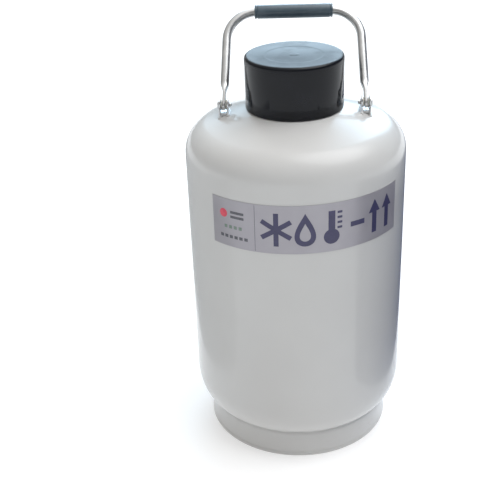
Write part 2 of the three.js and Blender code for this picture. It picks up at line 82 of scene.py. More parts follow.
hinge = next(joint for joint in frame["joints"] if joint["name"] == "bail_swing")
PIVOT = Vector(hinge["pos_m"])
PIVOT_X = middle("pivot_washer_right_outer").x / 2 + middle("pivot_washer_right_inner").x / 2
GRIP_CENTRE = middle("handle_grip")
BAIL_HEIGHT = (GRIP_CENTRE - PIVOT).length
BAIL_LEAN = math.atan2(GRIP_CENTRE.y - PIVOT.y, GRIP_CENTRE.z - PIVOT.z)
GRIP_HALF_LENGTH = high("handle_grip").x
GRIP_R = (high("handle_grip").z - low("handle_grip").z) / 2

# Shape of the shells, as in the CAD model.
BODY_WALL = 2 * MM
SHOULDER_START_Z = 426 * MM
SHOULDER_R = 43 * MM
SHOULDER_TURN = math.radians(71)
NECK_HOLE_R = 40 * MM
LID_SEAT_R = 66 * MM
LID_SEAT_Z = 484.6 * MM
CONE_START_R = BODY_R - SHOULDER_R + SHOULDER_R * math.cos(SHOULDER_TURN)
CONE_START_Z = SHOULDER_START_Z + SHOULDER_R * math.sin(SHOULDER_TURN)
CONE_SLOPE = (LID_SEAT_Z - CONE_START_Z) / (CONE_START_R - LID_SEAT_R)

BOTTOM_START_Z = 88.4 * MM
BOTTOM_ROUND_WIDTH = 26.8 * MM
BOTTOM_ROUND_HEIGHT = 48.3 * MM
BOTTOM_CENTRE_Z = low("outer_bottom").z
FOOT_WALL = 2.4 * MM
FOOT_LIP_WIDTH = 10 * MM

LABEL_START = math.radians(-45.2)
LABEL_END = math.radians(59.4)
LABEL_LIFT = 0.4 * MM
LABEL_TILT = 0.0117

TUBE_R = 6 * MM
BAIL_BEND_R = 41.4 * MM
BAIL_TAPER = math.radians(2.13)
LEG_HALF_THICKNESS = 2 * MM
LEG_HALF_WIDTH = 7.5 * MM
LEG_FLAT_TOP = 17 * MM
LEG_ROUND_START = 31 * MM
EAR_R = 8 * MM
EAR_FOOT = 14 * MM
EAR_ROUND_Z = 490 * MM
EAR_SPREAD_TOP_Z = 486 * MM
EAR_SPREAD_BOTTOM_Z = 477 * MM
BRACKET_FLOOR_Z = 479 * MM
PIN_R = 2.5 * MM
PIN_HOLE_R = 2.9 * MM

NECK_BORE_R = 25 * MM
NECK_TUBE_R = 27.6 * MM
PORT_DISTANCE = 100 * MM

# Facets round a turned piece.
ROUND = 160
PLUG_ROUND = 128
NECK_ROUND = 96
PORT_ROUND = 64
SMALL_ROUND = 48
DRILL_SEGMENTS = 32
BAIL_SECTION_POINTS = 40
BEAD_SECTION_POINTS = 10
MERGE_DISTANCE = 1e-7


# ---------------------------------------------------------------- mesh helpers

def cone_height(radius):
    return LID_SEAT_Z + (LID_SEAT_R - radius) * CONE_SLOPE


def spread(start, end, steps):
    """Evenly spaced values from start to end."""
    return [start + (end - start) * i / steps for i in range(steps + 1)]


def angles_round(count):
    return spread(0, 2 * math.pi, count)[:-1]


def around(radius, angle, z):
    return Vector((radius * math.cos(angle), radius * math.sin(angle), z))


def circle(radius, z, count):
    return [around(radius, angle, z) for angle in angles_round(count)]


def arc(centre_r, centre_z, width, height, start, end, steps):
    """Points on an arc or ellipse in the (radius, height) plane."""
    return [(centre_r + width * math.cos(angle), centre_z + height * math.sin(angle))
            for angle in spread(start, end, steps)]


def softened(corners, steps=5):
    """A profile from (radius, height, fillet) corners, each fillet drawn as a short curve."""
    points = []
    last = len(corners) - 1
    for i, (r, z, fillet) in enumerate(corners):
        if fillet == 0 or i in (0, last):
            points.append((r, z))
            continue
        here = Vector((r, z))
        before = Vector(corners[i - 1][:2]) - here
        after = Vector(corners[i + 1][:2]) - here
        reach = min(fillet, 0.49 * before.length, 0.49 * after.length)
        start = here + before.normalized() * reach
        end = here + after.normalized() * reach
        for t in spread(0, 1, steps):
            point = start * (1 - t) ** 2 + here * 2 * t * (1 - t) + end * t ** 2
            points.append((point.x, point.y))
    return points


def smooth(mesh, sharp_degrees):
    """Smooth shading, except at real corners."""
    mesh.shade_smooth()
    mesh.set_sharp_from_angle(angle=math.radians(sharp_degrees))


def mesh_object(name, work, sharp_degrees=35):
    """Turns a bmesh into an object, with faces pointing out, smooth except at real corners."""
    bmesh.ops.remove_doubles(work, verts=work.verts, dist=MERGE_DISTANCE)
    bmesh.ops.recalc_face_normals(work, faces=work.faces)
    mesh = bpy.data.meshes.new(name)
    work.to_mesh(mesh)
    work.free()
    smooth(mesh, sharp_degrees)
    piece = bpy.data.objects.new(name, mesh)
    bpy.context.scene.collection.objects.link(piece)
    return piece


def add_rings(work, rings, close_loop=False, cap_ends=False):
    """Joins rings of points with quads. close_loop also joins the last ring to the first."""
    made = [[work.verts.new(point) for point in ring] for ring in rings]
    count = len(made)
    pairs = [(i, i + 1) for i in range(count - 1)]
    if close_loop:
        pairs.append((count - 1, 0))
    for a, b in pairs:
        size = len(made[a])
        for j in range(size):
            k = (j + 1) % size
            work.faces.new((made[a][j], made[a][k], made[b][k], made[b][j]))
    if cap_ends:
        work.faces.new(list(reversed(made[0])))
        work.faces.new(made[-1])


def loft(name, rings, close_loop=False, cap_ends=False, sharp_degrees=35):
    work = bmesh.new()
    add_rings(work, rings, close_loop, cap_ends)
    return mesh_object(name, work, sharp_degrees)


def turned(name, profile, segments=ROUND, place=None, sharp_degrees=35):
    """A turned piece. The profile starts and ends on the axis, or closes on itself."""
    place = place or Matrix.Identity(4)
    work = bmesh.new()
    columns = []
    for r, z in profile:
        if r < 1e-6:
            columns.append([work.verts.new(place @ Vector((0, 0, z)))])
            continue
        columns.append([work.verts.new(place @ point) for point in circle(r, z, segments)])
    pairs = list(zip(columns, columns[1:]))
    if len(columns[0]) > 1:
        pairs.append((columns[-1], columns[0]))
    for a, b in pairs:
        for i in range(segments):
            k = (i + 1) % segments
            corners = [a[i % len(a)], a[k % len(a)], b[k % len(b)], b[i % len(b)]]
            unique = list(dict.fromkeys(corners))
            if len(unique) > 2:
                work.faces.new(unique)
    return mesh_object(name, work, sharp_degrees)


def cut_away(piece, cutter):
    """Takes the cutter's shape out of a piece, and removes the cutter."""
    modifier = piece.modifiers.new("cut", "BOOLEAN")
    modifier.object = cutter
    modifier.operation = "DIFFERENCE"
    modifier.solver = "EXACT"
    evaluated = piece.evaluated_get(bpy.context.evaluated_depsgraph_get())
    mesh = bpy.data.meshes.new_from_object(evaluated)
    piece.modifiers.clear()
    piece.data = mesh
    bpy.data.objects.remove(cutter)


def drill(piece, start, end, radius):
    """Cuts a round hole through a piece, from start to end."""
    axis = end - start
    place = Matrix.Translation(start) @ axis.to_track_quat("Z", "Y").to_matrix().to_4x4()
    profile = [(0, 0), (radius, 0), (radius, axis.length), (0, axis.length)]
    cut_away(piece, turned("cutter", profile, DRILL_SEGMENTS, place))
    smooth(piece.data, 30)


def bead(name, path, radius, ripple, pitch):
    """A closed weld bead along a loop of points, with a light ripple."""
    count = len(path)
    travelled = 0
    rings = []
    for i, point in enumerate(path):
        along = (path[(i + 1) % count] - path[i - 1]).normalized()
        side = along.orthogonal().normalized()
        other = along.cross(side)
        size = radius * (1 + ripple * math.sin(2 * math.pi * travelled / pitch))
        ring = []
        for angle in angles_round(BEAD_SECTION_POINTS):
            ring.append(point + (side * math.cos(angle) + other * math.sin(angle)) * size)
        rings.append(ring)
        travelled += (path[(i + 1) % count] - point).length
    rings = untwisted(rings)
    return loft(name, rings, close_loop=True, sharp_degrees=80)


def untwisted(rings):
    """Turns each ring so that its points follow on from the ring before."""
    fixed = [rings[0]]
    for ring in rings[1:]:
        size = len(ring)
        best = min(range(size), key=lambda shift: (ring[shift] - fixed[-1][0]).length)
        fixed.append([ring[(best + j) % size] for j in range(size)])
    return fixed


def settle(piece, material, body, slot, *nodes):
    """Gives a piece its material and body, and lets it stand for CAD nodes. The slot is not used."""
    piece.data.materials.clear()
    piece.data.materials.append(material)
    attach(piece, body)
    if nodes:
        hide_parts(*nodes)
    return piece


# ---------------------------------------------------------------- materials

class Nodes:
    """Short ways to add nodes to the node tree of a material or a world."""

    def __init__(self, tree, coordinates):
        self.nodes, self.links = tree.nodes, tree.links
        self.place = self.add("TexCoord").outputs[coordinates]

    def connect(self, value, socket):
        """Links a socket to another, or sets it to a plain value."""
        if isinstance(value, bpy.types.NodeSocket):
            self.links.new(value, socket)
        else:
            socket.default_value = value

    def fill(self, node, inputs):
        """Fills a node's inputs. An underscore in a name stands for a space."""
        for name, value in inputs.items():
            self.connect(value, node.inputs[name.replace("_", " ")])

    def add(self, kind, **inputs):
        node = self.nodes.new("ShaderNode" + kind)
        self.fill(node, inputs)
        return node

    def axis(self, name):
        return self.add("SeparateXYZ", Vector=self.place).outputs[name]

    def calculated(self, kind, operation, a, b):
        node = self.add(kind)
        node.operation = operation
        self.connect(a, node.inputs[0])
        self.connect(b, node.inputs[1])
        return node

    def math(self, operation, a, b):
        return self.calculated("Math", operation, a, b).outputs[0]

    def ramp(self, curve, value, start, end, to_start, to_end):
        limits = {"From_Min": start, "From_Max": end, "To_Min": to_start, "To_Max": to_end}
        node = self.add("MapRange", Value=value, **limits)
        node.interpolation_type = curve
        return node.outputs["Result"]

    def colours(self, amount, first, second):
        """The first colour where the amount is 0, and the second where it is 1."""
        node = self.add("Mix")
        node.data_type = "RGBA"
        self.connect(amount, node.inputs[0])
        for value, socket in ((first, node.inputs[6]), (second, node.inputs[7])):
            self.connect(value if isinstance(value, bpy.types.NodeSocket) else (*value, 1), socket)
        return node.outputs[2]


class Shader(Nodes):
    """A short way to write a node material on object coordinates, in metres."""

    def __init__(self, name):
        self.material = bpy.data.materials.new(name)
        self.material.use_nodes = True
        super().__init__(self.material.node_tree, "Object")
        self.surface = self.nodes["Principled BSDF"]
        self.height = None

    def set(self, **values):
        self.fill(self.surface, values)

    def stretched(self, x, y, z):
        return self.add("Mapping", Scale=(x, y, z), Vector=self.place).outputs["Vector"]

    def noise(self, scale, detail=3, roughness=0.5, place=None):
        place = place or self.place
        return self.add("TexNoise", Vector=place, Scale=scale, Detail=detail, Roughness=roughness).outputs[0]

    def cells(self, scale, feature="F1"):
        node = self.add("TexVoronoi", Vector=self.place, Scale=scale)
        node.feature = feature
        return node.outputs["Distance"]

    def between(self, value, start, end, to_start=0.0, to_end=1.0):
        return self.ramp("SMOOTHSTEP", value, start, end, to_start, to_end)

    def cloud(self, scale, detail, start=0.35, end=0.7):
        """Soft patches from 0 to 1, for a little variation of tone or gloss."""
        return self.between(self.noise(scale, detail), start, end)

    def bump(self, height, distance, strength=1.0):
        node = self.add("Bump", Distance=distance, Strength=strength, Height=height)
        if self.height is not None:
            self.links.new(self.height, node.inputs["Normal"])
        self.height = node.outputs["Normal"]
        self.links.new(self.height, self.surface.inputs["Normal"])


def enamel_paint():
    """Off-white gloss enamel: faint mottling and orange peel, scuffs low down."""
    s = Shader("white_enamel")
    mottle = s.cloud(7, 3, 0.3)
    colour = s.colours(mottle, (0.565, 0.560, 0.549), (0.585, 0.582, 0.571))
    low_down = s.between(s.axis("Z"), 0.002, 0.045, 1.0, 0.0)
    scuff = s.between(s.noise(70, 5, 0.6, s.stretched(1, 1, 4)), 0.56, 0.74)
    scuffed = s.math("MULTIPLY", s.math("MULTIPLY", low_down, scuff), 0.16)
    colour = s.colours(scuffed, colour, (0.36, 0.34, 0.31))
    roughness = s.between(s.noise(30, 3), 0.3, 0.7, 0.34, 0.42)
    roughness = s.math("ADD", roughness, s.math("MULTIPLY", scuffed, 0.6))
    s.set(Base_Color=colour, Roughness=roughness, IOR=1.30, Coat_Weight=0.8, Coat_IOR=1.34)
    s.set(Coat_Roughness=s.between(s.noise(14, 3), 0.3, 0.7, 0.07, 0.13))
    s.bump(s.noise(320, 2), 0.00003, 0.4)
    return s.material


def gloss_black_plastic(name, colour):
    """Moulded black plastic: glossy, with faint handling haze and hairline scratches."""
    s = Shader(name)
    haze = s.between(s.noise(28, 5, 0.6), 0.40, 0.72)
    base = s.colours(haze, colour, tuple(c * 1.5 + 0.001 for c in colour))
    scratch = s.between(s.noise(90, 4, 0.7, s.stretched(1, 14, 1)), 0.66, 0.72)
    dulled = s.between(s.axis("Z"), LID_TOP_Z - 15 * MM, LID_TOP_Z - 3 * MM, 0.0, 0.22)
    roughness = s.math("ADD", s.between(haze, 0, 1, 0.10, 0.16), s.math("MULTIPLY", scratch, 0.08))
    roughness = s.math("ADD", roughness, dulled)
    s.set(Base_Color=base, Roughness=roughness, IOR=1.32)
    s.bump(s.noise(600, 2), 0.00003, 0.4)
    s.bump(scratch, 0.00002, 0.3)
    return s.material


def polished_steel(name, first, second, haze):
    """Polished metal: draw lines, small rub marks and a little variation in gloss."""
    s = Shader(name)
    cloud = s.cloud(55, 4)
    colour = s.colours(cloud, first, second)
    lines = s.noise(500, 3, 0.6, s.stretched(1, 1, 0.08))
    rubs = s.between(s.noise(240, 4, 0.65), 0.60, 0.75)
    roughness = s.between(cloud, 0, 1, 0.15 + haze, 0.24 + haze)
    roughness = s.math("ADD", roughness, s.math("MULTIPLY", rubs, 0.12))
    s.set(Base_Color=colour, Metallic=1.0, Roughness=roughness)
    s.bump(lines, 0.00002, 0.35)
    return s.material


def bare_aluminium():
    """Spun aluminium: fine turning rings and a dull oxide."""
    s = Shader("spun_aluminium")
    rings = s.noise(1500, 2, 0.5, s.stretched(0.02, 0.02, 1))
    cloud = s.cloud(22, 4)
    colour = s.colours(cloud, (0.60, 0.61, 0.63), (0.72, 0.73, 0.74))
    s.set(Base_Color=colour, Metallic=1.0, Roughness=s.between(cloud, 0, 1, 0.34, 0.48))
    s.bump(rings, 0.00004, 0.5)
    return s.material


def slate_rubber():
    """Grip sleeve: smooth slate-grey rubber with a fine moulded grain and gloss that varies in patches."""
    s = Shader("slate_rubber")
    cloud = s.cloud(70, 4)
    colour = s.colours(cloud, (0.062, 0.094, 0.120), (0.080, 0.114, 0.140))
    grain = s.noise(1600, 3, 0.6)
    s.set(Base_Color=colour, Roughness=s.between(cloud, 0, 1, 0.30, 0.42), Specular_IOR_Level=0.6)
    s.bump(grain, 0.00006, 0.5)
    return s.material


def label_foil():
    """Silver-grey label foil: a fine brushed grain along the band and a satin face."""
    s = Shader("label_foil")
    brushed = s.noise(240, 3, 0.6, s.stretched(0.05, 0.05, 6))
    cloud = s.cloud(18, 3)
    colour = s.colours(cloud, (0.345, 0.33, 0.36), (0.385, 0.37, 0.40))
    colour = s.colours(s.math("MULTIPLY", brushed, 0.18), colour, (0.32, 0.31, 0.34))
    s.set(Base_Color=colour, Metallic=0.25, Roughness=s.between(cloud, 0, 1, 0.34, 0.44))
    s.bump(brushed, 0.00002, 0.3)
    return s.material


def print_ink(name, first, second):
    """Screen-printed ink: slightly uneven cover, a little more matt than the foil."""
    s = Shader(name)
    cover = s.between(s.noise(150, 4), 0.3, 0.75)
    s.set(Base_Color=s.colours(cover, first, second), Roughness=s.between(cover, 0, 1, 0.38, 0.5))
    s.bump(s.noise(900, 2), 0.00002, 0.3)
    return s.material


def rigid_foam():
    """Closed-cell foam: cut beads show as cells of slightly different height and tone."""
    s = Shader("rigid_foam")
    beads = s.cells(340)
    tone = s.cloud(120, 3, 0.3)
    colour = s.colours(tone, (0.72, 0.70, 0.64), (0.80, 0.785, 0.73))
    colour = s.colours(s.between(beads, 0.3, 0.8, 0.0, 0.25), colour, (0.55, 0.53, 0.47))
    s.set(Base_Color=colour, Roughness=0.9)
    s.bump(beads, 0.0006, 0.6)
    return s.material


def fibreglass():
    """Glass-fibre tube: a pale resin with the winding showing through."""
    s = Shader("glass_fibre")
    winding = s.noise(700, 2, 0.5, s.stretched(0.3, 0.3, 1))
    colour = s.colours(s.between(winding, 0.35, 0.65), (0.36, 0.37, 0.20), (0.47, 0.46, 0.29))
    s.set(Base_Color=colour, Roughness=0.42, Coat_Weight=0.2)
    s.bump(winding, 0.0001, 0.5)
    return s.material


def crinkled_foil():
    """Aluminised film over glass-fibre paper, loosely wound, so it is creased all over."""
    s = Shader("crinkled_foil")
    creases = s.cells(55, "DISTANCE_TO_EDGE")
    tone = s.cloud(40, 4)
    colour = s.colours(tone, (0.66, 0.67, 0.69), (0.78, 0.79, 0.80))
    s.set(Base_Color=colour, Metallic=0.9, Roughness=s.between(tone, 0, 1, 0.22, 0.38))
    s.bump(creases, 0.002, 0.7)
    return s.material


def charcoal_mesh():
    """Charcoal granules behind a fine mesh bag."""
    s = Shader("charcoal_mesh")
    grains = s.cells(420)
    colour = s.colours(s.between(grains, 0.2, 0.8), (0.012, 0.012, 0.012), (0.06, 0.058, 0.055))
    s.set(Base_Color=colour, Roughness=0.85)
    s.bump(grains, 0.001, 0.8)
    return s.material


def natural_nylon():
    s = Shader("natural_nylon")
    tone = s.cloud(300, 3)
    colour = s.colours(tone, (0.62, 0.60, 0.53), (0.70, 0.68, 0.62))
    s.set(Base_Color=colour, Roughness=s.between(tone, 0, 1, 0.38, 0.5), Subsurface_Weight=0.1)
    s.bump(s.noise(1200, 2), 0.00003, 0.4)
    return s.material


PAINT = enamel_paint()
BLACK = gloss_black_plastic("gloss_black_plastic", (0.003, 0.0035, 0.006))
STEEL = polished_steel("polished_stainless", (0.56, 0.565, 0.56), (0.66, 0.665, 0.66), 0.20)
ZINC = polished_steel("zinc_plate", (0.70, 0.71, 0.72), (0.80, 0.81, 0.82), 0.20)
ALUMINIUM = bare_aluminium()
RUBBER = slate_rubber()
FOIL = label_foil()
NAVY = print_ink("navy_ink", (0.040, 0.038, 0.095), (0.052, 0.048, 0.115))
RED = print_ink("red_ink", (0.62, 0.05, 0.09), (0.70, 0.08, 0.12))
GREY_INK = print_ink("grey_ink", (0.085, 0.085, 0.10), (0.11, 0.11, 0.13))
GREEN_INK = print_ink("green_ink", (0.15, 0.21, 0.17), (0.19, 0.25, 0.21))
FOAM = rigid_foam()
GLASS_FIBRE = fibreglass()
WRAP = crinkled_foil()
CHARCOAL = charcoal_mesh()
NYLON = natural_nylon()


# ---------------------------------------------------------------- outer vessel

def shoulder_line(inset, steps=20):
    radius = SHOULDER_R - inset
    line = arc(BODY_R - SHOULDER_R, SHOULDER_START_Z, radius, radius, 0, SHOULDER_TURN, steps)
    drop = inset / math.cos(math.atan(CONE_SLOPE))
    return line + [(NECK_HOLE_R, cone_height(NECK_HOLE_R) - drop)]


def make_outer_shell():
    outside = [(BODY_R, BODY_SEAM_Z)] + shoulder_line(0)
    inside = [(BODY_R - BODY_WALL, BODY_SEAM_Z)] + shoulder_line(BODY_WALL)
    shell = turned("shell_skin", outside + inside[::-1], sharp_degrees=40)
    port = middle("vacuum_port_tube")
    normal = Vector((0, math.sin(math.atan(CONE_SLOPE)), math.cos(math.atan(CONE_SLOPE))))
    port_r = high("vacuum_port_tube").x + 0.2 * MM
    reach = normal * 20 * MM
    drill(shell, port - reach, port + reach, port_r)
    settle(shell, PAINT, "vessel", "white_paint", "outer_shell")


def bottom_line(inset, steps=20):
    width = BOTTOM_ROUND_WIDTH
    height = BOTTOM_ROUND_HEIGHT - inset
    return arc(BODY_R - inset - width, BOTTOM_START_Z, width, height, 0, -math.pi / 2, steps)[::-1]


def make_outer_bottom():
    top = BODY_SEAM_Z
    outside = [(0, BOTTOM_CENTRE_Z)] + bottom_line(0) + [(BODY_R, top)]
    inside = [(0, BOTTOM_CENTRE_Z + BODY_WALL)] + bottom_line(BODY_WALL) + [(BODY_R - BODY_WALL, top)]
    bottom = turned("bottom_skin", outside + inside[::-1], sharp_degrees=40)
    settle(bottom, PAINT, "vessel", "white_paint", "outer_bottom")


def make_foot_ring():
    inner = FOOT_R - FOOT_WALL
    top = high("foot_ring").z
    corners = [
        (FOOT_R - FOOT_LIP_WIDTH, 0.6 * MM, 0),
        (FOOT_R - FOOT_LIP_WIDTH, 0, 0.5 * MM),
        (FOOT_R - 1.2 * MM, 0, 1.5 * MM),
        (FOOT_R, 1.2 * MM, 1.5 * MM),
        (FOOT_R, 5.0 * MM, 1.5 * MM),
        (FOOT_R - 0.7 * MM, 6.4 * MM, 1.5 * MM),
        (FOOT_R - 0.7 * MM, top - 5 * MM, 3 * MM),
        (FOOT_R - 1.9 * MM, top - 1.2 * MM, 0.6 * MM),
        (inner + 0.2 * MM, top - 1.2 * MM, 0),
        (inner, top - 2 * MM, 0),
        (inner, FOOT_WALL, 1 * MM),
        (FOOT_R - FOOT_LIP_WIDTH, FOOT_WALL, 0.5 * MM),
        (FOOT_R - FOOT_LIP_WIDTH, 0.7 * MM, 0),
    ]
    ring = turned("foot_skirt", softened(corners), sharp_degrees=40)
    settle(ring, PAINT, "vessel", "white_paint", "foot_ring")
    seam = bead("foot_weld", circle(FOOT_R - 2.2 * MM, top - 0.6 * MM, 360), 0.9 * MM, 0.10, 5 * MM)
    settle(seam, PAINT, "vessel", "white_paint")


# ---------------------------------------------------------------- label

def on_label(angle, z, lift):
    """A point over the shell, at an angle from the front. The label sits very slightly askew."""
    radius = BODY_R + lift
    x = radius * math.sin(angle)
    return Vector((x, -radius * math.cos(angle), z + LABEL_TILT * x))


def curved_plate(name, outline_pairs, lift, thickness):
    """A thin closed plate on the shell. outline_pairs are (angle, low z, high z) columns."""
    rings = []
    for angle, bottom, top in outline_pairs:
        rings.append([
            on_label(angle, bottom, lift),
            on_label(angle, bottom, lift + thickness),
            on_label(angle, top, lift + thickness),
            on_label(angle, top, lift),
        ])
    return loft(name, rings, cap_ends=True, sharp_degrees=40)


def make_label():
    columns = [(angle, LABEL_LOW_Z, LABEL_HIGH_Z) for angle in spread(LABEL_START, LABEL_END, 72)]
    plate = curved_plate("label_band", columns, 0.05 * MM, LABEL_LIFT)
    settle(plate, FOIL, "vessel", "label_foil", "label_plate")


PRINT_LIFT = LABEL_LIFT + 0.06 * MM
PRINT_THICKNESS = 0.06 * MM
LABEL_MIDDLE_Z = (LABEL_LOW_Z + LABEL_HIGH_Z) / 2


class Print:
    """Flat shapes printed on the label. Across is from the band's left end, up is from its middle."""

    def __init__(self):
        self.work = bmesh.new()

    def point(self, across, up, lift):
        return on_label(LABEL_START + across / BODY_R, LABEL_MIDDLE_Z + up, lift)

    def strip(self, left, right, columns=6):
        """Fills between two rows of (across, up) points, following the curve of the shell."""
        rings = []
        for a, b in zip(left, right):
            row = [(a[0] + (b[0] - a[0]) * t, a[1] + (b[1] - a[1]) * t) for t in spread(0, 1, columns)]
            top = [self.point(*point, PRINT_LIFT + PRINT_THICKNESS) for point in row]
            bottom = [self.point(*point, PRINT_LIFT) for point in row[::-1]]
            rings.append(top + bottom)
        add_rings(self.work, rings, cap_ends=True)

    def stroke(self, points, width):
        """A line of even width through the points, square at its ends."""
        dense = []
        for (x0, y0), (x1, y1) in zip(points, points[1:]):
            pieces = max(1, int(math.hypot(x1 - x0, y1 - y0) / (2 * MM)))
            for i in range(pieces):
                dense.append(Vector((x0 + (x1 - x0) * i / pieces, y0 + (y1 - y0) * i / pieces)))
        dense.append(Vector(points[-1]))
        left, right = [], []
        for i, here in enumerate(dense):
            before = (here - dense[i - 1]).normalized() if i else None
            after = (dense[i + 1] - here).normalized() if i < len(dense) - 1 else None
            along = ((before or after) + (after or before)).normalized()
            stretch = 1 / max(0.4, along.dot(after or before))
            across = Vector((-along.y, along.x)) * width / 2 * stretch
            left.append(tuple(here + across))
            right.append(tuple(here - across))
        self.strip(left, right)

    def disc(self, centre, radius):
        left, right = [], []
        for t in spread(0.01, 0.99, 24):
            angle = math.pi * t
            x = centre[0] + radius * math.cos(angle)
            reach = radius * math.sin(angle)
            left.append((x, centre[1] + reach))
            right.append((x, centre[1] - reach))
        self.strip(left, right)

    def made(self, name, ink):
        piece = mesh_object(name, self.work, 40)
        return settle(piece, ink, "vessel", "label_foil")


def teardrop(centre, low_end, height, width):
    """Points round a drop with its tip up, starting at the tip."""
    points = []
    for angle in spread(0, 2 * math.pi, 40):
        x = width / 2 * math.sin(angle) * math.sin(angle / 2) ** 1.4 * 1.16
        points.append((centre + x, low_end + height * (0.5 + 0.5 * math.cos(angle))))
    return points


def make_label_print():
    """Plain pictograms: a frost star, a drop, a thermometer, a dash and two this-way-up arrows."""
    half = 23 * MM
    big = Print()
    star = 93 * MM
    for i in range(3):
        angle = math.pi / 2 + math.pi * i / 3
        dx, dy = half * 0.95 * math.cos(angle), half * math.sin(angle)
        big.stroke([(star - dx, -dy), (star + dx, dy)], 6.5 * MM)
    drop = 130 * MM
    outside = teardrop(drop, -half, 2 * half, 33 * MM)
    inside = teardrop(drop, -half + 7 * MM, 2 * half - 21 * MM, 17 * MM)
    big.strip(outside, inside)
    gauge = 164 * MM
    bulb = 10.5 * MM
    big.stroke([(gauge, -10 * MM), (gauge, half)], 9 * MM)
    big.disc((gauge, -half + bulb), bulb)
    for i in range(4):
        level = -1 * MM + i * 7 * MM
        big.stroke([(gauge + 7.5 * MM, level), (gauge + 14 * MM, level)], 3.2 * MM)
    big.stroke([(190 * MM, -1 * MM), (211 * MM, -1 * MM)], 7 * MM)
    head = 17 * MM
    for across in (228 * MM, 252 * MM):
        big.stroke([(across, -half), (across, half - head)], 8 * MM)
        big.strip([(across - 10 * MM, half - head), (across - 0.5 * MM, half)],
                  [(across + 10 * MM, half - head), (across + 0.5 * MM, half)])
    big.made("label_pictograms", NAVY)

    rule = Print()
    divider = 65.2 * MM
    edge = (LABEL_HIGH_Z - LABEL_LOW_Z) / 2 - 1.5 * MM
    rule.stroke([(divider, -edge), (divider, edge)], 0.6 * MM)
    for level in (16 * MM, 9.5 * MM):
        rule.stroke([(30 * MM, level), (50 * MM, level)], 3.6 * MM)
    for i in range(6):
        start = 13 * MM + i * 7.4 * MM
        rule.stroke([(start, -19 * MM), (start + 5 * MM, -19 * MM)], 4.4 * MM)
    rule.made("label_rules", GREY_INK)

    small = Print()
    for i in range(4):
        start = 20 * MM + i * 7.4 * MM
        small.stroke([(start, -5 * MM), (start + 4.6 * MM, -5 * MM)], 4.6 * MM)
    small.made("label_squares", GREEN_INK)

    dot = Print()
    dot.disc((19 * MM, 12.8 * MM), 6 * MM)
    dot.made("label_dot", RED)


# ---------------------------------------------------------------- neck and port

def make_neck():
    ring_low = low("neck_ring").z
    tube_low, tube_high = low("neck_tube").z, high("neck_tube").z
    bore = 25.2 * MM
    corners = [
        (bore, NECK_RING_TOP_Z - 6 * MM, 0),
        (bore, NECK_RING_TOP_Z, 0.8 * MM),
        (NECK_RING_R - 1 * MM, NECK_RING_TOP_Z, 2 * MM),
        (NECK_RING_R, NECK_RING_TOP_Z - 2 * MM, 1 * MM),
        (NECK_RING_R, ring_low, 0.6 * MM),
        (28 * MM, ring_low, 0),
        (28 * MM, tube_high + 0.3 * MM, 0),
        (bore, tube_high + 0.3 * MM, 0),
    ]
    ring = turned("neck_guide_ring", softened(corners)[::-1], NECK_ROUND)
    notch_cutter(ring, bore, 6, 5 * MM, 3 * MM)
    settle(ring, BLACK, "vessel", "black_plastic", "neck_ring")

    collar_low, collar_top = low("neck_collar").z, high("neck_collar").z
    collar_r = high("neck_collar").x
    shelf = cone_height(NECK_HOLE_R) + 0.3 * MM
    barrel = NECK_HOLE_R - 0.6 * MM
    collar = [
        (28 * MM, collar_low, 0),
        (barrel, collar_low, 0),
        (barrel, shelf, 0),
        (collar_r, shelf, 0.5 * MM),
        (collar_r, collar_top, 0.8 * MM),
        (28 * MM, collar_top, 0),
    ]
    flange = turned("neck_flange", softened(collar), NECK_ROUND)
    settle(flange, ALUMINIUM, "vessel", "aluminium", "neck_collar")
    tube = [
        (NECK_BORE_R, tube_low, 0),
        (NECK_TUBE_R, tube_low, 0),
        (NECK_TUBE_R, tube_high, 0.4 * MM),
        (NECK_BORE_R, tube_high, 0.4 * MM),
        (NECK_BORE_R, tube_high - 5 * MM, 0),
    ]
    liner = turned("neck_liner", softened(tube), NECK_ROUND)
    settle(liner, GLASS_FIBRE, "vessel", "fibreglass", "neck_tube")


def notch_cutter(ring, bore, count, width, depth):
    """Cuts the handle notches out of the neck ring."""
    bottom = NECK_RING_TOP_Z - depth
    top = NECK_RING_TOP_Z + 2 * MM
    outline = [(-1, bottom), (1, bottom), (1, top), (-1, top)]
    for i in range(count):
        turn = Matrix.Rotation(2 * math.pi * (i + 0.5) / count, 4, "Z")
        corners = []
        for x in (bore - 4 * MM, bore + 9 * MM):
            corners.append([turn @ Vector((x, side * width / 2, z)) for side, z in outline])
        cut_away(ring, loft("cutter", corners, cap_ends=True))
    smooth(ring.data, 35)


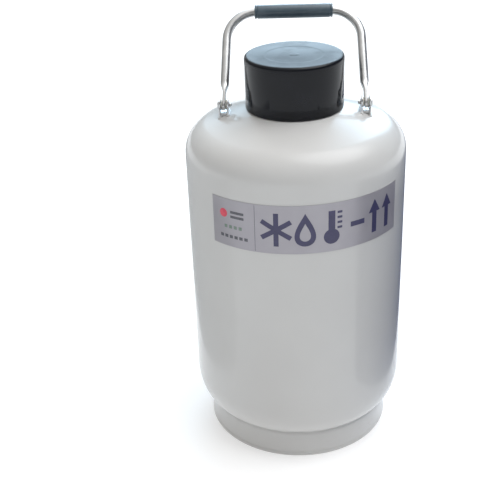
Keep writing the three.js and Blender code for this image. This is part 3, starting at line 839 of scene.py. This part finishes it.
def make_vacuum_port():
    tilt = math.atan(CONE_SLOPE)
    foot = Vector((0, PORT_DISTANCE, cone_height(PORT_DISTANCE)))
    place = Matrix.Translation(foot) @ Matrix.Rotation(-tilt, 4, "X")
    cap_r = high("vacuum_port_cap").x
    cap_top = 16.3 * MM
    inner_r = 7.3 * MM
    rows = [
        (0, 13.3 * MM, 0),
        (inner_r, 13.3 * MM, 0.5 * MM),
        (inner_r, 1.2 * MM, 0),
        (cap_r - 0.5 * MM, 1.2 * MM, 0.4 * MM),
        (cap_r, 2.4 * MM, 0.6 * MM),
        (cap_r, 4.6 * MM, 0.4 * MM),
        (cap_r - 0.7 * MM, 5.4 * MM, 0.4 * MM),
        (cap_r - 0.7 * MM, cap_top - 1.2 * MM, 1.8 * MM),
        (cap_r - 2.6 * MM, cap_top, 1.8 * MM),
        (2 * MM, cap_top, 0.5 * MM),
        (1.5 * MM, cap_top - 0.5 * MM, 0.3 * MM),
        (0, cap_top - 0.5 * MM, 0),
    ]
    cap = turned("port_cap", softened(rows), PORT_ROUND, place)
    settle(cap, BLACK, "port_cap", "black_plastic", "vacuum_port_cap")
    tube = [
        (5 * MM, -8 * MM, 0),
        (7 * MM, -8 * MM, 0),
        (7 * MM, 13 * MM, 0.6 * MM),
        (5 * MM, 13 * MM, 0.4 * MM),
        (5 * MM, 10 * MM, 0),
    ]
    pipe = turned("port_tube", softened(tube), PORT_ROUND, place)
    settle(pipe, ALUMINIUM, "vessel", "aluminium", "vacuum_port_tube")
    weld_r = 7.6 * MM
    loop = []
    for angle in angles_round(72):
        x, y = weld_r * math.cos(angle), weld_r * math.sin(angle)
        sag = x * x / (2 * PORT_DISTANCE) * CONE_SLOPE
        loop.append(place @ Vector((x, y, 0.2 * MM - sag)))
    settle(bead("port_weld", loop, 0.9 * MM, 0.12, 2.4 * MM), PAINT, "vessel", "white_paint")


# ---------------------------------------------------------------- lid

def make_lid():
    """The cap, with a shallow dish, a low step and a raised mark on top, and the plug under it."""
    wall = 3.2 * MM
    roof = LID_TOP_Z - 5 * MM
    edge = 4.6 * MM
    rim = LID_R - edge
    corners = [
        (0, roof, 0),
        (LID_R - wall, roof, 2 * MM),
        (LID_R - wall, LID_BOTTOM_Z, 0.5 * MM),
        (LID_R - 0.2 * MM, LID_BOTTOM_Z, 0.9 * MM),
        (LID_R, LID_BOTTOM_Z + 1.5 * MM, 0.9 * MM),
    ]
    outside = arc(rim, LID_TOP_Z - edge, edge, edge, 0, math.pi / 2, 14)
    dish = []
    for t in spread(0, 1, 60)[1:]:
        r = (rim - 1.5 * MM) * (1 - t)
        depth = 0.9 * MM * (1 - (r / rim) ** 4)
        depth += 0.22 * MM * (1 - smoothstep(r, 0.60 * rim, 0.66 * rim))
        depth -= 0.30 * MM * (1 - smoothstep(r, 4.5 * MM, 7.5 * MM))
        dish.append((r, LID_TOP_Z - depth))
    profile = softened(corners)[:-1] + outside + dish
    settle(turned("lid_shell", profile, sharp_degrees=50), BLACK, "lid", "black_plastic", "lid_cap")

    disc_low, disc_high = low("plug_disc").z, high("plug_disc").z
    disc_r = high("plug_disc").x
    disc = [
        (0, disc_low, 0),
        (disc_r, disc_low, 0.8 * MM),
        (disc_r, disc_high, 0.8 * MM),
        (0, disc_high, 0),
    ]
    settle(turned("plug_plate", softened(disc), PLUG_ROUND), BLACK, "lid", "black_plastic", "plug_disc")

    plug_r = 23.4 * MM
    plug_low, plug_high = low("neck_plug").z, high("neck_plug").z
    head_low = NECK_RING_TOP_Z + 2 * MM
    head_r = high("neck_plug").x
    plug = [
        (0, plug_low, 0),
        (plug_r - 1 * MM, plug_low, 2.5 * MM),
        (plug_r, plug_low + 3 * MM, 2.5 * MM),
        (plug_r, head_low, 1.5 * MM),
        (head_r, head_low, 1.5 * MM),
        (head_r, plug_high, 1.0 * MM),
        (0, plug_high, 0),
    ]
    settle(turned("foam_plug", softened(plug), PLUG_ROUND), FOAM, "lid", "foam", "neck_plug")


# ---------------------------------------------------------------- bail handle

class Bail:
    """The bail's centre line in its own plane: x sideways and z up from the pivots."""

    def __init__(self):
        self.bend_z = BAIL_HEIGHT - BAIL_BEND_R
        self.leg_top_z = self.bend_z + BAIL_BEND_R * math.sin(BAIL_TAPER)
        self.leg_top_x = PIVOT_X - self.leg_top_z * math.tan(BAIL_TAPER)
        self.bend_x = self.leg_top_x - BAIL_BEND_R * math.cos(BAIL_TAPER)
        self.bend_length = BAIL_BEND_R * (math.pi / 2 - BAIL_TAPER)
        self.pivot_travel = self.bend_x + self.bend_length + self.leg_top_z / math.cos(BAIL_TAPER)

    def at(self, travel):
        """(point, inward normal) at a distance along the tube from the middle of the grip."""
        side = -1 if travel < 0 else 1
        distance = abs(travel)
        if distance <= self.bend_x:
            return Vector((travel, 0, BAIL_HEIGHT)), Vector((0, 0, -1))
        if distance <= self.bend_x + self.bend_length:
            angle = math.pi / 2 - (distance - self.bend_x) / BAIL_BEND_R
            x = self.bend_x + BAIL_BEND_R * math.cos(angle)
            z = self.bend_z + BAIL_BEND_R * math.sin(angle)
            return Vector((side * x, 0, z)), Vector((-side * math.cos(angle), 0, -math.sin(angle)))
        down = distance - self.bend_x - self.bend_length
        x = self.leg_top_x + down * math.sin(BAIL_TAPER)
        z = self.leg_top_z - down * math.cos(BAIL_TAPER)
        return Vector((side * x, 0, z)), Vector((-side * math.cos(BAIL_TAPER), 0, -math.sin(BAIL_TAPER)))


def smoothstep(value, start, end):
    t = min(1, max(0, (value - start) / (end - start)))
    return t * t * (3 - 2 * t)


def bail_section(centre, inward, from_pivot, place):
    """One ring of the tube: round, or pressed flat near the pivot, closing round the eye's end."""
    roundness = smoothstep(from_pivot, LEG_FLAT_TOP, LEG_ROUND_START)
    thick = LEG_HALF_THICKNESS + (TUBE_R - LEG_HALF_THICKNESS) * roundness
    wide = LEG_HALF_WIDTH + (TUBE_R - LEG_HALF_WIDTH) * roundness
    if from_pivot < 0:
        wide = math.sqrt(max(LEG_HALF_WIDTH ** 2 - from_pivot ** 2, (0.4 * MM) ** 2))
    power = 2 / (2 + 5 * (1 - roundness))
    ring = []
    for angle in angles_round(BAIL_SECTION_POINTS):
        c, s = math.cos(angle), math.sin(angle)
        across = math.copysign(abs(c) ** power, c) * thick
        side = math.copysign(abs(s) ** power, s) * wide
        ring.append(place @ (centre + inward * across + Vector((0, side, 0))))
    return ring


def make_bail():
    place = Matrix.Translation(PIVOT) @ Matrix.Rotation(-BAIL_LEAN, 4, "X")
    bail = Bail()
    end = bail.pivot_travel + LEG_HALF_WIDTH - 0.02 * MM
    stations = []
    for angle in spread(0, math.pi / 2, 12):
        stations.append(bail.pivot_travel + LEG_HALF_WIDTH * math.sin(angle) * 0.999)
    spacing = 2 * MM
    travel = bail.pivot_travel - spacing
    while travel > 0:
        stations.append(travel)
        travel -= spacing
    stations = sorted(station for station in stations if station <= end)
    stations = [-station for station in stations[::-1]] + stations
    rings = []
    for station in stations:
        centre, inward = bail.at(station)
        facing = inward if station >= 0 else -inward
        rings.append(bail_section(centre, facing, bail.pivot_travel - abs(station), place))
    half_ring = BAIL_SECTION_POINTS // 2
    for i, station in enumerate(stations):
        if station < 0:
            rings[i] = rings[i][half_ring::-1] + rings[i][:half_ring:-1]
    tube = loft("bail_rod", rings, cap_ends=True, sharp_degrees=40)
    for side in (-1, 1):
        centre = PIVOT + Vector((side * PIVOT_X, 0, 0))
        drill(tube, centre - Vector((8 * MM, 0, 0)), centre + Vector((8 * MM, 0, 0)), PIN_HOLE_R)
    settle(tube, STEEL, "bail", "stainless", "bail_tube")

    grip_place = place @ Matrix.Translation((0, 0, BAIL_HEIGHT)) @ Matrix.Rotation(math.pi / 2, 4, "Y")
    bore = TUBE_R + 0.3 * MM
    length = GRIP_HALF_LENGTH
    half = [
        (bore, length, 0),
        (GRIP_R - 0.3 * MM, length, 0.7 * MM),
        (GRIP_R - 0.1 * MM, length - 2.2 * MM, 0.5 * MM),
        (GRIP_R - 0.9 * MM, length - 2.8 * MM, 0.4 * MM),
        (GRIP_R - 0.9 * MM, length - 3.4 * MM, 0.4 * MM),
        (GRIP_R - 0.1 * MM, length - 4.2 * MM, 0.5 * MM),
        (GRIP_R, length * 0.5, 0),
    ]
    mirrored = [(r, -z, fillet) for r, z, fillet in half[::-1]]
    sleeve = turned("grip_sleeve", softened(half + mirrored)[::-1], 72, grip_place)
    settle(sleeve, RUBBER, "bail", "grip_rubber", "handle_grip")


def ear_outline():
    """An ear seen from the side, as (y, z) points: round on top and spread at its foot, on the cone."""
    points = arc(0, EAR_ROUND_Z, EAR_R, EAR_R, 0, math.pi, 24)
    waist = [(-EAR_R, EAR_SPREAD_TOP_Z + 1 * MM), (-EAR_R - 0.6 * MM, EAR_SPREAD_TOP_Z - 1 * MM),
             (-EAR_FOOT + 0.5 * MM, EAR_SPREAD_BOTTOM_Z + 0.8 * MM), (-EAR_FOOT, EAR_SPREAD_BOTTOM_Z)]
    points += waist
    points.append((-EAR_FOOT, None))
    points.append((0, None))
    points.append((EAR_FOOT, None))
    points += [(-y, z) for y, z in waist[::-1]]
    return points


def make_ear(name, side, inner_x, outer_x):
    """One ear of a bracket: a plate with softened edges, standing on the shoulder."""
    outline = ear_outline()
    middle_x = (inner_x + outer_x) / 2
    half_wall = (outer_x - inner_x) / 2
    soft = 0.4 * MM
    rings = []
    for depth, shrink in ((-half_wall, soft), (-half_wall + 0.12 * MM, soft * 0.3), (-half_wall + soft, 0),
                          (half_wall - soft, 0), (half_wall - 0.12 * MM, soft * 0.3), (half_wall, soft)):
        x = middle_x + depth
        ring = []
        for y, z in outline:
            if z is None:
                z = cone_height(math.hypot(x, y)) + 0.2 * MM
            else:
                outward = Vector((y, z - EAR_ROUND_Z + EAR_R / 2)).normalized() * shrink
                y, z = y - outward.x, z - max(outward.y, 0)
            ring.append(Vector((side * x, y, z)))
        rings.append(ring)
    return loft(name, rings, cap_ends=True, sharp_degrees=40)


def make_bracket(word, side):
    """Two ears and the folded floor between them, with a weld round each foot."""
    half = (high("bail_bracket_" + word).x - low("bail_bracket_" + word).x) / 2
    wall = 2 * MM
    plates = [
        (PIVOT_X - half, PIVOT_X - half + wall, "inner"),
        (PIVOT_X + half - wall, PIVOT_X + half, "outer"),
    ]
    centre = Vector((side * PIVOT_X, 0, PIVOT.z))
    reach = Vector((12 * MM, 0, 0))
    for inner_x, outer_x, where in plates:
        ear = make_ear(f"ear_{word}_{where}", side, inner_x, outer_x)
        drill(ear, centre - reach, centre + reach, PIN_HOLE_R)
        settle(ear, ZINC, "vessel", "stainless")
        make_ear_weld(f"ear_weld_{word}_{where}", side, inner_x, outer_x)
    gap = half - wall
    rings = []
    for across in spread(-gap, gap, 12):
        x = PIVOT_X + across
        into_fold = max(0, abs(across) - gap + 2 * MM) / (2.05 * MM)
        dip = 1.6 * MM * (1 - math.sqrt(max(0, 1 - into_fold ** 2)))
        under, over = cone_height(x) + 0.3 * MM, BRACKET_FLOOR_Z + dip
        section = [(-EAR_R, under), (EAR_R, under), (EAR_R, over), (-EAR_R, over)]
        rings.append([Vector((side * x, y, z)) for y, z in section])
    floor = loft("bracket_floor_" + word, rings, cap_ends=True, sharp_degrees=40)
    settle(floor, ZINC, "vessel", "stainless", "bail_bracket_" + word)


def make_ear_weld(name, side, inner_x, outer_x):
    """A painted-over weld round the foot of an ear."""
    middle_x = (inner_x + outer_x) / 2
    half_wall = (outer_x - inner_x) / 2 + 0.5 * MM
    loop = []
    for angle in angles_round(80):
        c, s = math.cos(angle), math.sin(angle)
        x = middle_x + math.copysign(abs(c) ** 0.5, c) * half_wall
        y = math.copysign(abs(s) ** 0.35, s) * (EAR_FOOT + 0.3 * MM)
        loop.append(Vector((side * x, y, cone_height(math.hypot(x, y)) + 0.3 * MM)))
    settle(bead(name, loop, 1.1 * MM, 0.12, 3 * MM), PAINT, "vessel", "white_paint")


def make_pin(word, side):
    """The pin, its clip and its two washers, turned about the pivot axis."""
    place = (Matrix.Translation((side * PIVOT_X, 0, PIVOT.z))
             @ Matrix.Rotation(side * math.pi / 2, 4, "Y"))
    half = (high("bail_bracket_right").x - low("bail_bracket_right").x) / 2
    head = half + 0.2 * MM
    tip = half + 4 * MM
    rows = [
        (0, -tip, 0),
        (PIN_R - 0.5 * MM, -tip, 0.5 * MM),
        (PIN_R, -tip + 0.7 * MM, 0.5 * MM),
        (PIN_R, -half - 1.5 * MM, 0),
        (PIN_R - 0.4 * MM, -half - 1.4 * MM, 0),
        (PIN_R - 0.4 * MM, -half - 0.3 * MM, 0),
        (PIN_R, -half - 0.2 * MM, 0),
        (PIN_R, head, 0),
        (2 * PIN_R, head, 0.3 * MM),
        (2 * PIN_R - 0.1 * MM, head + 1.3 * MM, 1.0 * MM),
        (PIN_R, head + 2.5 * MM, 1.2 * MM),
        (0, head + 2.5 * MM, 0),
    ]
    settle(turned("pin_" + word, softened(rows), SMALL_ROUND, place), STEEL, "vessel", "stainless",
           "pivot_pin_" + word)
    clip_rings = []
    clip_r, clip_low, clip_high = PIN_R - 0.3 * MM, -half - 1.2 * MM, -half - 0.5 * MM
    section = [(clip_r, clip_low), (2 * PIN_R, clip_low), (2 * PIN_R, clip_high), (clip_r, clip_high)]
    for angle in spread(math.radians(-55), math.radians(235), 40):
        clip_rings.append([place @ around(r, angle, z) for r, z in section])
    clip = loft("spring_clip_" + word, clip_rings, cap_ends=True)
    settle(clip, STEEL, "vessel", "stainless", "pin_clip_" + word)
    washer_r = 6.5 * MM
    for where, low_z in (("outer", 2.55 * MM), ("inner", -3.95 * MM)):
        top = low_z + 1.4 * MM
        rows = [
            (PIN_HOLE_R, low_z, 0.3 * MM),
            (washer_r, low_z, 0.4 * MM),
            (washer_r, top, 0.4 * MM),
            (PIN_HOLE_R, top, 0.3 * MM),
            (PIN_HOLE_R, low_z + 0.5 * MM, 0),
        ]
        washer = turned(f"washer_{word}_{where}", softened(rows), SMALL_ROUND, place)
        settle(washer, NYLON, "vessel", "nylon", f"pivot_washer_{word}_{where}")


# ---------------------------------------------------------------- inner pieces carried over from the CAD

def dress_inner_nodes():
    looks = {
        "inner_vessel_top": ALUMINIUM,
        "inner_vessel_bottom": ALUMINIUM,
        "canister_spider": ALUMINIUM,
        "vacuum_port_plug": STEEL,
        "insulation_wrap": WRAP,
        "insulation_top_pad": WRAP,
        "insulation_bottom_pad": WRAP,
        "adsorbent_pack": CHARCOAL,
    }
    for node, material in looks.items():
        mesh = frame["nodes"][node].data
        mesh.materials.clear()
        mesh.materials.append(material)


# ---------------------------------------------------------------- studio

def flat_panel(name, corners, tone_scale, tone_low, tone_high):
    """A flat panel with a faint mottling, and its shader."""
    work = bmesh.new()
    work.faces.new([work.verts.new(corner) for corner in corners])
    panel = mesh_object(name, work)
    s = Shader(name)
    s.set(Base_Color=s.colours(s.cloud(tone_scale, 3, 0.3), tone_low, tone_high), Roughness=0.9)
    panel.data.materials.append(s.material)
    return panel, s


def make_floor():
    """A pale floor, which gives off some light of its own so that it shows as white."""
    size = 9.0
    corners = [(-size, -size, 0), (size, -size, 0), (size, size, 0), (-size, size, 0)]
    floor, s = flat_panel("studio_floor", corners, 1.5, (0.58, 0.58, 0.58), (0.60, 0.60, 0.60))
    s.set(Emission_Color=(1, 1, 1, 1), Emission_Strength=0.44)


def make_card(name, x, height, tone_low, tone_high, in_diffuse):
    """A studio card beside the vessel, which darkens what that side reflects.

    The camera can't see it and it casts no shadow. Without in_diffuse it counts in reflections only.
    """
    y_start, y_end, foot = -0.2, 0.6, 0.002
    corners = [(x, y_start, foot), (x, y_end, foot), (x, y_end, height), (x, y_start, height)]
    card, _ = flat_panel(name, corners, 3, tone_low, tone_high)
    card.visible_camera = False
    card.visible_diffuse = in_diffuse
    card.visible_shadow = False
    card.visible_transmission = False


class Sky(Nodes):
    """Nodes for a world whose brightness depends only on the direction."""

    def axis_ramp(self, name, *limits):
        return self.ramp("SMOOTHERSTEP", self.axis(name), *limits)

    def vectors(self, operation, a, b):
        return self.calculated("VectorMath", operation, a, b)

    def lamp(self, azimuth, elevation, spread_angle, strength, colour):
        """A round soft lamp in the sky. The azimuth is from +Y towards +X. Angles are in degrees."""
        a, e = math.radians(azimuth), math.radians(elevation)
        towards = (math.sin(a) * math.cos(e), math.cos(a) * math.cos(e), math.sin(e))
        closeness = self.vectors("DOT_PRODUCT", self.place, towards).outputs["Value"]
        edge = math.cos(math.radians(spread_angle))
        brightness = self.ramp("SMOOTHERSTEP", closeness, edge, 1.0, 0.0, strength)
        return self.vectors("MULTIPLY", colour, brightness).outputs[0]


def make_world():
    """A soft studio dome: bright overhead, a cool window behind, a lamp high on the right, dim low there.

    It lights the whole object. The camera sees plain white in its place.
    """
    world = bpy.data.worlds.new("studio_world")
    world.use_nodes = True
    sky = Sky(world.node_tree, "Generated")
    overhead = sky.axis_ramp("Z", 0.1, 0.95, 0.10, 0.84)
    behind = sky.axis_ramp("Y", -0.3, 0.8, 0.0, 0.16)
    dome = sky.math("ADD", overhead, behind)
    to_the_right = sky.axis_ramp("X", -0.1, 0.7, 0.0, 1.0)
    low_down = sky.axis_ramp("Z", 0.35, 0.95, 1.0, 0.0)
    shade = sky.math("MULTIPLY", to_the_right, low_down)
    tint = sky.colours(shade, (1.0, 0.985, 0.965), (0.06, 0.09, 0.20))
    light = sky.vectors("MULTIPLY", tint, dome).outputs[0]
    window = sky.lamp(6, 27, 30, 6.0, (0.62, 0.83, 1.0))
    right_lamp = sky.lamp(88, 66, 34, 4.4, (0.97, 0.985, 1.0))
    for lamp in (window, right_lamp):
        light = sky.vectors("ADD", light, lamp).outputs[0]
    seen_by_camera = sky.add("LightPath").outputs["Is Camera Ray"]
    backdrop = sky.colours(seen_by_camera, light, (1, 1, 1))
    sky.links.new(backdrop, sky.nodes["Background"].inputs["Color"])
    bpy.context.scene.world = world


# The camera was worked out from the photograph's perspective: about 1.2 m in front and 0.9 m up.
CAMERA_PLACE = (0.0, -1.2283, 0.90605)
CAMERA_PITCH = math.radians(26.81)
CAMERA_YAW = math.radians(-3.753)
CAMERA_ROLL = math.radians(-2.326)
CAMERA_SENSOR_MM = 36
CAMERA_LENS_MM = 71.86


def make_camera():
    data = bpy.data.cameras.new("camera")
    data.sensor_width = CAMERA_SENSOR_MM
    data.lens = CAMERA_LENS_MM
    camera = bpy.data.objects.new("camera", data)
    turn = (Matrix.Rotation(-CAMERA_YAW, 4, "Z") @ Matrix.Rotation(math.pi / 2 - CAMERA_PITCH, 4, "X")
            @ Matrix.Rotation(CAMERA_ROLL, 4, "Z"))
    camera.matrix_world = Matrix.Translation(CAMERA_PLACE) @ turn
    bpy.context.scene.collection.objects.link(camera)
    bpy.context.scene.camera = camera


make_camera()
make_world()
make_floor()
make_card("dark_card", 0.25, 0.37, (0.012, 0.035, 0.12), (0.018, 0.045, 0.14), True)
make_card("grey_card", -0.30, 0.37, (0.48, 0.48, 0.47), (0.52, 0.52, 0.51), False)
make_outer_shell()
make_outer_bottom()
make_foot_ring()
make_label()
make_label_print()
make_neck()
make_vacuum_port()
make_lid()
make_bail()
for word, side in (("left", -1), ("right", 1)):
    make_bracket(word, side)
    make_pin(word, side)
dress_inner_nodes()

bpy.context.scene.view_settings.view_transform = "Standard"
